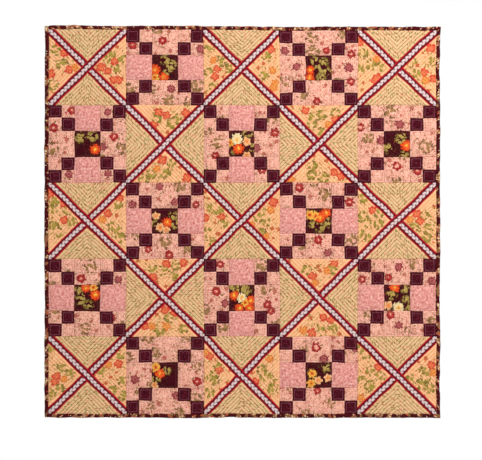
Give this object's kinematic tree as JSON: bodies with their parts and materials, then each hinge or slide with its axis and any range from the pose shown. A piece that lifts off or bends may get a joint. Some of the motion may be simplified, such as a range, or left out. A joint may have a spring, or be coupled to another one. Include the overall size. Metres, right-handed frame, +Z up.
{
  "type": "wall quilt on a hanging rod",
  "caption": "Square patchwork quilt of crossed blocks and chain blocks, hung by a back sleeve on a wooden rod in open wall hooks.",
  "frame": {"origin": "on the wall, midway between the two wall hooks, at the height of the hanging rod's axis", "axes": "+Z up, -Y out from the wall towards the viewer of the quilt's face, +Y into the wall, X along the rod"},
  "size_m": [1.162, 0.0914, 1.162],
  "materials": {
    "rope_print": "matte",
    "peach_print": "matte",
    "khaki_print": "matte",
    "rose_print": "matte",
    "mottled_print": "matte",
    "plum_print": "matte",
    "posy_print": "matte",
    "binding_print": "matte",
    "batting": "matte",
    "backing_cloth": "matte",
    "sleeve_cloth": "matte",
    "rod_wood": "satin",
    "hook_steel": "satin",
    "screw_steel": "satin"
  },
  "bodies": {
    "wall_hooks": {"wall_hook_left": "hook_steel", "wall_hook_right": "hook_steel", "wall_screw_left": "screw_steel", "wall_screw_right": "screw_steel"},
    "rod": {"hanging_rod": "rod_wood"},
    "quilt": {"crossed_block_1_1_long_strip": "rope_print", "crossed_block_1_1_upper_half": "peach_print", "crossed_block_1_1_lower_half": "peach_print", "crossed_block_1_3_long_strip": "rope_print", "crossed_block_1_3_upper_half": "peach_print", "crossed_block_1_3_lower_half": "peach_print", "crossed_block_1_5_long_strip": "rope_print", "crossed_block_1_5_upper_half": "peach_print", "crossed_block_1_5_lower_half": "peach_print", "crossed_block_2_2_long_strip": "rope_print", "crossed_block_2_2_upper_half": "peach_print", "crossed_block_2_2_lower_half": "peach_print", "crossed_block_2_4_long_strip": "rope_print", "crossed_block_2_4_upper_half": "peach_print", "crossed_block_2_4_lower_half": "peach_print", "crossed_block_3_1_long_strip": "rope_print", "crossed_block_3_1_upper_half": "peach_print", "crossed_block_3_1_lower_half": "peach_print", "crossed_block_3_3_long_strip": "rope_print", "crossed_block_3_3_upper_half": "peach_print", "crossed_block_3_3_lower_half": "peach_print", "crossed_block_3_5_long_strip": "rope_print", "crossed_block_3_5_upper_half": "peach_print", "crossed_block_3_5_lower_half": "peach_print", "crossed_block_4_2_long_strip": "rope_print", "crossed_block_4_2_upper_half": "peach_print", "crossed_block_4_2_lower_half": "peach_print", "crossed_block_4_4_long_strip": "rope_print", "crossed_block_4_4_upper_half": "peach_print", "crossed_block_4_4_lower_half": "peach_print", "crossed_block_5_1_long_strip": "rope_print", "crossed_block_5_1_upper_half": "peach_print", "crossed_block_5_1_lower_half": "peach_print", "crossed_block_5_3_long_strip": "rope_print", "crossed_block_5_3_upper_half": "peach_print", "crossed_block_5_3_lower_half": "peach_print", "crossed_block_5_5_long_strip": "rope_print", "crossed_block_5_5_upper_half": "peach_print", "crossed_block_5_5_lower_half": "peach_print", "chain_block_1_2": "rose_print", "chain_block_1_4": "rose_print", "chain_block_2_1": "rose_print", "chain_block_2_3": "rose_print", "chain_block_2_5": "rose_print", "chain_block_3_2": "rose_print", "chain_block_3_4": "rose_print", "chain_block_4_1": "rose_print", "chain_block_4_3": "rose_print", "chain_block_4_5": "rose_print", "chain_block_5_2": "rose_print", "chain_block_5_4": "rose_print", "binding": "binding_print", "batting": "batting", "backing": "backing_cloth", "hanging_sleeve": "sleeve_cloth"}
  },
  "joints": [
    {"name": "rod_lift", "type": "slide", "parent": "wall_hooks", "child": "rod", "axis": [0, 0, 1], "range_m": [0, 0.03]},
    {"name": "quilt_swing", "type": "hinge", "parent": "rod", "child": "quilt", "pos_m": [0, -0.045, 0], "axis": [-1, 0, 0], "range_deg": [0, 90]}
  ]
}
